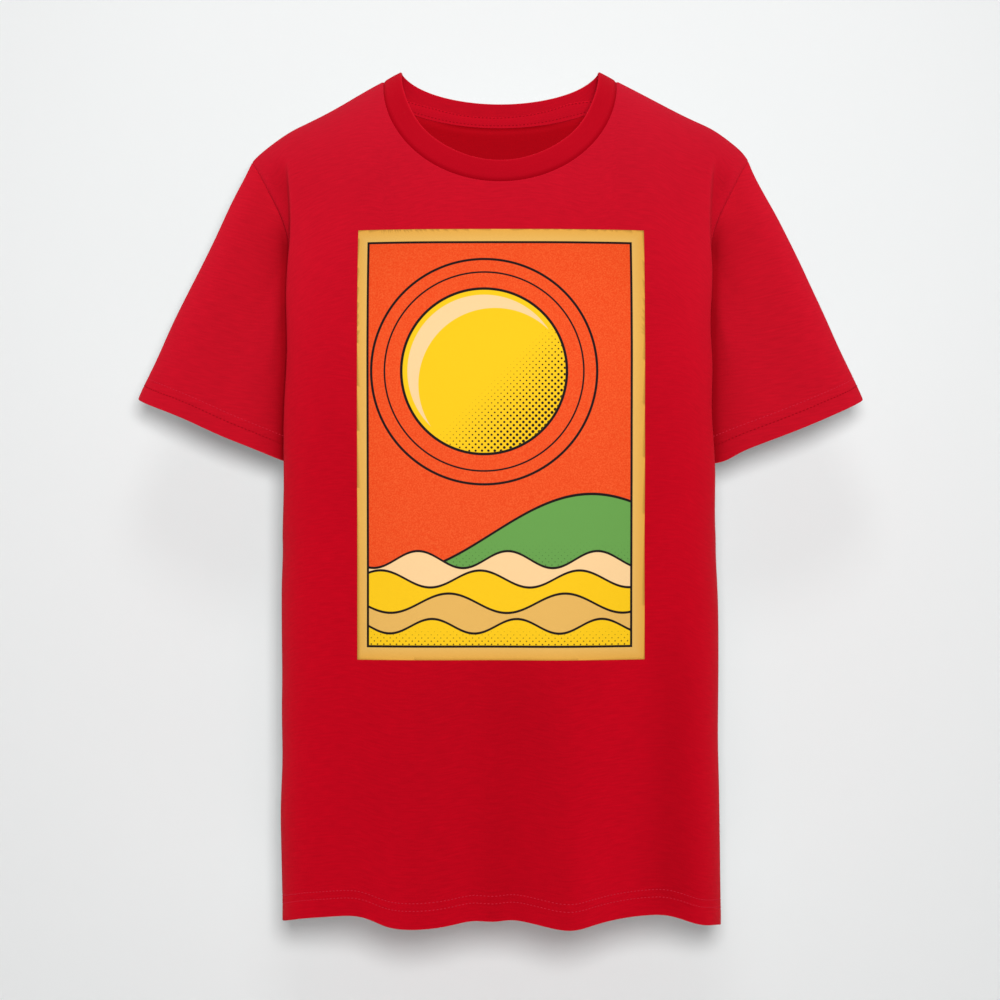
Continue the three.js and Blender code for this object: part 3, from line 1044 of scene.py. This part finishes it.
def noiseOf(tree, vector, scale, detail=2.0, stretch=(1, 1, 1)):
    mapping = tree.nodes.new("ShaderNodeMapping")
    mapping.inputs["Scale"].default_value = stretch
    noise = tree.nodes.new("ShaderNodeTexNoise")
    noise.inputs["Scale"].default_value = scale
    noise.inputs["Detail"].default_value = detail
    tree.links.new(vector, mapping.inputs["Vector"])
    tree.links.new(mapping.outputs[0], noise.inputs["Vector"])
    return noise.outputs["Fac"]


def clamp(tree, value):
    return calc(tree, "MINIMUM", calc(tree, "MAXIMUM", value, 0), 1)


def newMaterial(name, values):
    material = bpy.data.materials.new(name)
    material.use_nodes = True
    shader = material.node_tree.nodes["Principled BSDF"]
    for socket, value in values.items():
        shader.inputs[socket].default_value = value
    return material, material.node_tree, shader


def addBump(tree, shader, height, strength):
    bump = tree.nodes.new("ShaderNodeBump")
    bump.inputs["Strength"].default_value = strength
    bump.inputs["Distance"].default_value = 0.2 * mm
    tree.links.new(height, bump.inputs["Height"])
    tree.links.new(bump.outputs["Normal"], shader.inputs["Normal"])


# knit cloth: slubs that run across, soft mottling and the loops of the knit

knit = {
    "slubStretch": (70, 640, 1),
    "patchScale": 11,
    "patchTone": 0.10,
    "patchRough": 0.10,
    "rough": 0.82,
    "courses": 1.35,  # rows of loops for each column of them
    "waleShare": 0.6,
    "courseShare": 0.4,
    "loopHeight": 0.5,
    "slubHeight": 2.2,
}


def makeKnitGroup():
    group = bpy.data.node_groups.new("knitCloth", "ShaderNodeTree")
    sockets = {
        "INPUT": (("Cloth", "Vector"), ("Color", "Color"), ("Slub", "Float"), ("Loop Pitch", "Float")),
        "OUTPUT": (("Color", "Color"), ("Roughness", "Float"), ("Height", "Float")),
    }
    for way, kinds in sockets.items():
        for name, kind in kinds:
            group.interface.new_socket(name, in_out=way, socket_type="NodeSocket" + kind)
    start, end = group.nodes.new("NodeGroupInput"), group.nodes.new("NodeGroupOutput")
    clothUv, color = start.outputs["Cloth"], start.outputs["Color"]
    slub = noiseOf(group, clothUv, 1, 3, knit["slubStretch"])
    patches = noiseOf(group, clothUv, knit["patchScale"], 2)
    streaks = calc(group, "MULTIPLY", calc(group, "SUBTRACT", slub, 0.5), start.outputs["Slub"])
    mottling = calc(group, "MULTIPLY_ADD", calc(group, "SUBTRACT", patches, 0.5), knit["patchTone"], 1.0)
    tone = calc(group, "ADD", mottling, streaks)
    toned = group.nodes.new("ShaderNodeVectorMath")
    toned.operation = "SCALE"
    group.links.new(color, toned.inputs[0])
    group.links.new(tone, toned.inputs["Scale"])
    parts = group.nodes.new("ShaderNodeSeparateXYZ")
    group.links.new(clothUv, parts.inputs[0])
    waleTurns = calc(group, "DIVIDE", 2 * math.pi, start.outputs["Loop Pitch"])
    courseTurns = calc(group, "MULTIPLY", waleTurns, knit["courses"])
    wales = calc(group, "SINE", calc(group, "MULTIPLY", parts.outputs[0], waleTurns))
    courses = calc(group, "SINE", calc(group, "MULTIPLY", parts.outputs[1], courseTurns))
    wales = calc(group, "MULTIPLY", wales, knit["waleShare"])
    loops = calc(group, "ADD", wales, calc(group, "MULTIPLY", courses, knit["courseShare"]))
    slubs = calc(group, "MULTIPLY", slub, knit["slubHeight"])
    height = calc(group, "ADD", calc(group, "MULTIPLY", loops, knit["loopHeight"]), slubs)
    rough = calc(group, "MULTIPLY_ADD", patches, knit["patchRough"], knit["rough"])
    group.links.new(toned.outputs[0], end.inputs["Color"])
    group.links.new(rough, end.inputs["Roughness"])
    group.links.new(height, end.inputs["Height"])
    return group


knitGroup = makeKnitGroup()

# "low" is the deeper colour that the cloth takes on towards the hem, painted to stand in for how the light
# falls from collar to hem, and "deep" the painted shade in its hollows
fabrics = {
    "jersey": {
        "color": (0.542, 0.0073, 0.0235),
        "low": (0.556, 0.0016, 0.0122),
        "deep": (0.250, 0.0002, 0.0020),
        "slub": 0.32,
        "pitch": 0.8 * mm,
        "bump": 0.10,
    },
    # painted light: the sleeves take a paler copy of the jersey, for the stronger light on them
    "sleeveJerseyPaintedLight": {
        "color": (0.600, 0.0080, 0.0240),
        "low": (0.575, 0.0048, 0.0185),
        "deep": (0.250, 0.0002, 0.0020),
        "slub": 0.32,
        "pitch": 0.8 * mm,
        "bump": 0.10,
    },
    "backJersey": {
        "color": (0.542, 0.0073, 0.0235),
        "low": (0.556, 0.0016, 0.0122),
        "slub": 0.32,
        "pitch": 0.8 * mm,
        "bump": 0.10,
    },
    "jerseyInside": {
        "color": (0.600, 0.0035, 0.0130),
        "deep": (0.400, 0.0001, 0.0040),
        "slub": 0.20,
        "pitch": 0.9 * mm,
        "bump": 0.14,
    },
    "ribKnit": {
        "color": (0.600, 0.0045, 0.0180),
        "deep": (0.360, 0.0001, 0.0060),
        "slub": 0.20,
        "pitch": 1.2 * mm,
        "bump": 0.16,
    },
    "tapeKnit": {"color": (0.650, 0.0050, 0.0200), "slub": 0.12, "pitch": 0.8 * mm, "bump": 0.12},
    "thread": {"color": (0.610, 0.0180, 0.0430), "slub": 0.10, "pitch": 0.5 * mm, "bump": 0.10},
    # painted shade: this thread is darker for the shade in the needle holes and grooves of its rows
    "paintedShadeThread": {"color": (0.370, 0.0020, 0.0090), "slub": 0.10, "pitch": 0.5 * mm, "bump": 0.10},
}
# how far below the collar the cloth is at its low colour, and how late it turns; this change is painted
# light
paintedLightFade = {"reach": 0.60, "power": 2.5}
matt = {"Diffuse Roughness": 0.9, "Specular IOR Level": 0.03, "Sheen Weight": 0.004, "Sheen Roughness": 0.5}


def fabricMaterial(name):
    values = fabrics[name]
    material, tree, shader = newMaterial(name, matt)
    place = tree.nodes.new("ShaderNodeUVMap")
    place.uv_map = "cloth"
    knitNode = tree.nodes.new("ShaderNodeGroup")
    knitNode.node_tree = knitGroup
    knitNode.inputs["Color"].default_value = (*values["color"], 1)
    knitNode.inputs["Slub"].default_value = values["slub"]
    knitNode.inputs["Loop Pitch"].default_value = values["pitch"]
    tree.links.new(place.outputs["UV"], knitNode.inputs["Cloth"])
    # painted light: towards the hem the colour goes over into the low colour
    if "low" in values:
        coordinates = tree.nodes.new("ShaderNodeTexCoord")
        height = tree.nodes.new("ShaderNodeSeparateXYZ")
        tree.links.new(coordinates.outputs["Object"], height.inputs[0])
        paintedHeightLight = calc(tree, "MULTIPLY_ADD", height.outputs[2], 1 / paintedLightFade["reach"], 1)
        paintedHeightLight = calc(tree, "POWER", clamp(tree, paintedHeightLight), paintedLightFade["power"])
        tree.links.new(blendColor(tree, paintedHeightLight, values["low"], values["color"]), knitNode.inputs["Color"])
    color = knitNode.outputs["Color"]
    # painted shade: the attribute hollow darkens the colour towards deep
    if "deep" in values:
        hollow = tree.nodes.new("ShaderNodeAttribute")
        hollow.attribute_name = "hollow"
        color = blendColor(tree, calc(tree, "MINIMUM", hollow.outputs["Fac"], 1), color, values["deep"])
    # light that leaves the back of the shirt is paler, so that the backdrop stays grey
    path, facing = tree.nodes.new("ShaderNodeLightPath"), tree.nodes.new("ShaderNodeNewGeometry")
    turned, spot = tree.nodes.new("ShaderNodeSeparateXYZ"), tree.nodes.new("ShaderNodeSeparateXYZ")
    tree.links.new(facing.outputs["Normal"], turned.inputs[0])
    tree.links.new(facing.outputs["Position"], spot.inputs[0])
    facesBack = calc(tree, "GREATER_THAN", turned.outputs[1], 0)
    behind = calc(tree, "MULTIPLY", facesBack, calc(tree, "GREATER_THAN", spot.outputs[1], 0))
    paler = calc(tree, "MULTIPLY", behind, path.outputs["Is Diffuse Ray"])
    tree.links.new(blendColor(tree, paler, color, studio["bounce"]), shader.inputs["Base Color"])
    tree.links.new(knitNode.outputs["Roughness"], shader.inputs["Roughness"])
    addBump(tree, shader, knitNode.outputs["Height"], values["bump"])
    return material


for name, pieces in (
    ("jersey", (frontPanel,)),
    ("backJersey", (backPanel,)),
    ("sleeveJerseyPaintedLight", (leftSleeve, rightSleeve)),
    ("jerseyInside", (frontPanel, backPanel, leftSleeve, rightSleeve)),
    ("ribKnit", (neckRib,)),
    ("tapeKnit", (neckTape,)),
    ("thread", (hemStitches, cuffStitches)),
    ("paintedShadeThread", (paintedShadeCuffStitches, tapeStitches)),
):
    material = fabricMaterial(name)
    for piece in pieces:
        piece.data.materials.append(material)
# the walls of the cloth that face inwards take the second material
for piece in (frontPanel, backPanel, leftSleeve, rightSleeve):
    piece.modifiers["clothThickness"].material_offset = 1


# the print's design, in millimetres: a sun, a hill and waves in a gold frame

poster = {
    "gold": (0.755, 0.435, 0.105),
    "goldEdge": (0.735, 0.365, 0.056),
    "ink": (0.010, 0.006, 0.006),
    "field": (0.775, 0.060, 0.008),
    "fieldLight": (0.835, 0.098, 0.020),
    "sun": (0.90, 0.54, 0.008),
    "cream": (0.90, 0.60, 0.30),
    "leaf": (0.13, 0.33, 0.07),
    "margin": 10.3,
    "narrow": 2.4,  # how much less the margin is at the left
    "line": 1.9,
    "outline": 2.2,
    "sunCentre": (-14, 238),
    "sunRadius": 67,
    "sunRings": [(93, 2.0), (82, 1.4)],  # radius and width
    "shine": (9, -11, 4),  # how far its circle is moved in x and z, and how much smaller it is
    "hill": (103, 33, 330, 0.15),  # height, swing, length and phase
    "waves": [
        (82, 7, 74, 1.1, "cream"),
        (66, 7, 82, 2.9, "sun"),
        (46, 8, 96, 4.4, "gold"),
        (27, 6, 70, 0.4, "sun"),
    ],
    "waveOutline": 2.0,
    "dotPitch": 3.7,
    "sunDots": (0.0075, 0.05),  # how fast the dots grow across the sun, and how late they start
    "hillDots": (-0.006, 0.62),  # how fast they grow downwards, and from what size
    "waveDots": (-0.014, 0.42),
    "grain": (900, 3.5, -1.35),
    "dotEdge": 5,  # how sharp the edge of a dot is
    "slubStretch": (120, 120, 900),
    "bump": 0.12,
}


def makePrintMaterial():
    material, tree, shader = newMaterial("printFilm", {"Roughness": 0.72, "Specular IOR Level": 0.10})
    place = tree.nodes.new("ShaderNodeTexCoord")
    parts = tree.nodes.new("ShaderNodeSeparateXYZ")
    tree.links.new(place.outputs["Object"], parts.inputs[0])
    middle = (printArea["left"] + printArea["right"]) / 2
    halfWide = 1000 * ((printArea["right"] - printArea["left"]) / 2)
    tall = 1000 * (printArea["top"] - printArea["bottom"])
    # millimetres from the bottom centre of the print
    x = calc(tree, "MULTIPLY_ADD", parts.outputs[0], 1000, -1000 * middle)
    z = calc(tree, "MULTIPLY_ADD", parts.outputs[2], 1000, -1000 * printArea["bottom"])

    def inside(distance, soft=0.25):  # 1 where the distance is below nought
        return clamp(tree, calc(tree, "MULTIPLY_ADD", distance, -1 / soft, 0.5))

    def circle(centre, radius):
        dx, dz = calc(tree, "SUBTRACT", x, centre[0]), calc(tree, "SUBTRACT", z, centre[1])
        squared = calc(tree, "ADD", calc(tree, "MULTIPLY", dx, dx), calc(tree, "MULTIPLY", dz, dz))
        return calc(tree, "SUBTRACT", calc(tree, "SQRT", squared), radius)

    def wave(height, swing, length, phase):
        turn = calc(tree, "MULTIPLY_ADD", x, 2 * math.pi / length, phase)
        crest = calc(tree, "MULTIPLY", calc(tree, "SINE", turn), swing)
        return calc(tree, "SUBTRACT", calc(tree, "SUBTRACT", z, height), crest)

    def paint(under, distance, color, outline=0.0):
        if outline:
            around = inside(calc(tree, "SUBTRACT", distance, outline))
            under = blendColor(tree, around, under, poster["ink"])
        return blendColor(tree, inside(distance), under, color)

    turned = math.sqrt(0.5) * math.pi / poster["dotPitch"]
    diagonals = [
        calc(tree, "COSINE", calc(tree, "MULTIPLY", calc(tree, way, x, z), turned))
        for way in ("ADD", "SUBTRACT")
    ]
    dots = calc(tree, "ABSOLUTE", calc(tree, "MULTIPLY", diagonals[0], diagonals[1]))

    def halftone(under, region, fade):  # dots that grow as fade goes from 0 to 1, kept inside the region
        edge = poster["dotEdge"]
        grown = clamp(tree, calc(tree, "MULTIPLY_ADD", calc(tree, "ADD", dots, fade), edge, -edge))
        return blendColor(tree, calc(tree, "MULTIPLY", grown, inside(region)), under, poster["ink"])

    grainScale, contrast, start = poster["grain"]
    grain = noiseOf(tree, place.outputs["Object"], grainScale, 1)
    grain = clamp(tree, calc(tree, "MULTIPLY_ADD", grain, contrast, start))
    color = blendColor(tree, grain, poster["field"], poster["fieldLight"])
    sunAt, sunRadius = poster["sunCentre"], poster["sunRadius"]
    for ring, width in poster["sunRings"]:
        away = calc(tree, "ABSOLUTE", circle(sunAt, ring))
        color = paint(color, calc(tree, "SUBTRACT", away, width / 2), poster["ink"])
    sun = circle(sunAt, sunRadius)
    color = paint(color, sun, poster["sun"], poster["outline"])
    shiftX, shiftZ, smaller = poster["shine"]
    inner = circle((sunAt[0] + shiftX, sunAt[1] + shiftZ), sunRadius - smaller)
    shine = calc(tree, "MAXIMUM", calc(tree, "MULTIPLY", inner, -1), circle(sunAt, sunRadius - smaller))
    color = paint(color, shine, poster["cream"])
    growth, late = poster["sunDots"]
    lean = calc(tree, "ADD", calc(tree, "MULTIPLY", calc(tree, "SUBTRACT", x, sunAt[0]), growth),
                calc(tree, "MULTIPLY", calc(tree, "SUBTRACT", z, sunAt[1]), -growth))
    color = halftone(color, sun, calc(tree, "SUBTRACT", lean, late))
    hill = wave(*poster["hill"])
    color = paint(color, hill, poster["leaf"], poster["outline"])
    color = halftone(color, hill, calc(tree, "MULTIPLY_ADD", z, *poster["hillDots"]))
    for height, swing, length, phase, name in poster["waves"]:
        edge = wave(height, swing, length, phase)
        color = paint(color, edge, poster[name], poster["waveOutline"])
    color = halftone(color, edge, calc(tree, "MULTIPLY_ADD", z, *poster["waveDots"]))
    leftGap = calc(tree, "ADD", x, halfWide + poster["narrow"])
    sideGap = calc(tree, "MINIMUM", calc(tree, "SUBTRACT", halfWide, x), leftGap)
    gap = calc(tree, "MINIMUM", sideGap, calc(tree, "MINIMUM", z, calc(tree, "SUBTRACT", tall, z)))
    margin, line = poster["margin"], poster["line"]
    color = paint(color, calc(tree, "SUBTRACT", gap, margin + line), poster["ink"])
    fromEdge = clamp(tree, calc(tree, "MULTIPLY", gap, 1 / margin))
    gold = blendColor(tree, fromEdge, poster["goldEdge"], poster["gold"])
    color = paint(color, calc(tree, "SUBTRACT", gap, margin), gold)
    tree.links.new(color, shader.inputs["Base Color"])
    slub = noiseOf(tree, place.outputs["Object"], 1, 2, poster["slubStretch"])
    addBump(tree, shader, slub, poster["bump"])
    return material


chestPrint.data.materials.append(makePrintMaterial())
print("materials made")


def makeCamera():
    data = bpy.data.cameras.new("camera")
    data.sensor_width = studio["sensor"]
    data.lens = studio["sensor"] * studio["cameraDistance"] / studio["frameWidth"]
    data.clip_end = 50
    camera = bpy.data.objects.new("camera", data)
    camera.location = (0, -studio["cameraDistance"], studio["cameraZ"])
    camera.rotation_euler = (math.pi / 2, 0, 0)
    bpy.context.scene.collection.objects.link(camera)
    bpy.context.scene.camera = camera


def makeArea(name, place, target, size, power, spread):
    data = bpy.data.lights.new(name, "AREA")
    data.shape = "DISK"
    data.size = size
    data.energy = power
    data.spread = math.radians(spread)
    light = bpy.data.objects.new(name, data)
    light.location = place
    light.rotation_euler = (Vector(target) - Vector(place)).to_track_quat("-Z", "Y").to_euler()
    bpy.context.scene.collection.objects.link(light)


def makeStage():
    bm = bmesh.new()
    bmesh.ops.create_grid(bm, x_segments=1, y_segments=1, size=studio["wallHalfSize"])
    bmesh.ops.rotate(bm, verts=bm.verts, matrix=Matrix.Rotation(math.pi / 2, 3, "X"))
    bmesh.ops.translate(bm, verts=bm.verts, vec=(0, studio["wallY"], studio["wallCentreZ"]))
    wall = addPiece("wall", bm)
    bm = bmesh.new()
    bmesh.ops.create_grid(bm, x_segments=1, y_segments=1, size=studio["floorHalfSize"])
    bmesh.ops.translate(bm, verts=bm.verts, vec=(0, 0, studio["floorZ"]))
    floor = addPiece("floor", bm)
    wallPaint, tree, shader = newMaterial("wallPaint", {
        "Roughness": 1,
        "Specular IOR Level": 0,
        "Base Color": (*studio["wallColor"], 1),
        "Emission Color": (1, 1, 1, 1),
        "Emission Strength": studio["wallGlow"],
    })
    # from behind, the backdrop lets the view through
    seeThrough = tree.nodes.new("ShaderNodeBsdfTransparent")
    behind = tree.nodes.new("ShaderNodeNewGeometry")
    choose = tree.nodes.new("ShaderNodeMixShader")
    tree.links.new(behind.outputs["Backfacing"], choose.inputs[0])
    tree.links.new(shader.outputs[0], choose.inputs[1])
    tree.links.new(seeThrough.outputs[0], choose.inputs[2])
    tree.links.new(choose.outputs[0], tree.nodes["Material Output"].inputs["Surface"])
    wall.data.materials.append(wallPaint)
    wall.visible_shadow = False
    floorPaint = newMaterial("floorPaint", {"Base Color": (*studio["floorColor"], 1), "Roughness": 0.9})[0]
    floor.data.materials.append(floorPaint)


def makeLight():
    world = bpy.data.worlds.new("world")
    bpy.context.scene.world = world
    world.use_nodes = True
    world.node_tree.nodes["Background"].inputs["Color"].default_value = (1, 1, 1, 1)
    world.node_tree.nodes["Background"].inputs["Strength"].default_value = studio["world"]
    for values in studio["lights"]:
        makeArea(*values)


makeCamera()
makeStage()
makeLight()
bpy.context.scene.view_settings.view_transform = "Standard"
print("studio made")
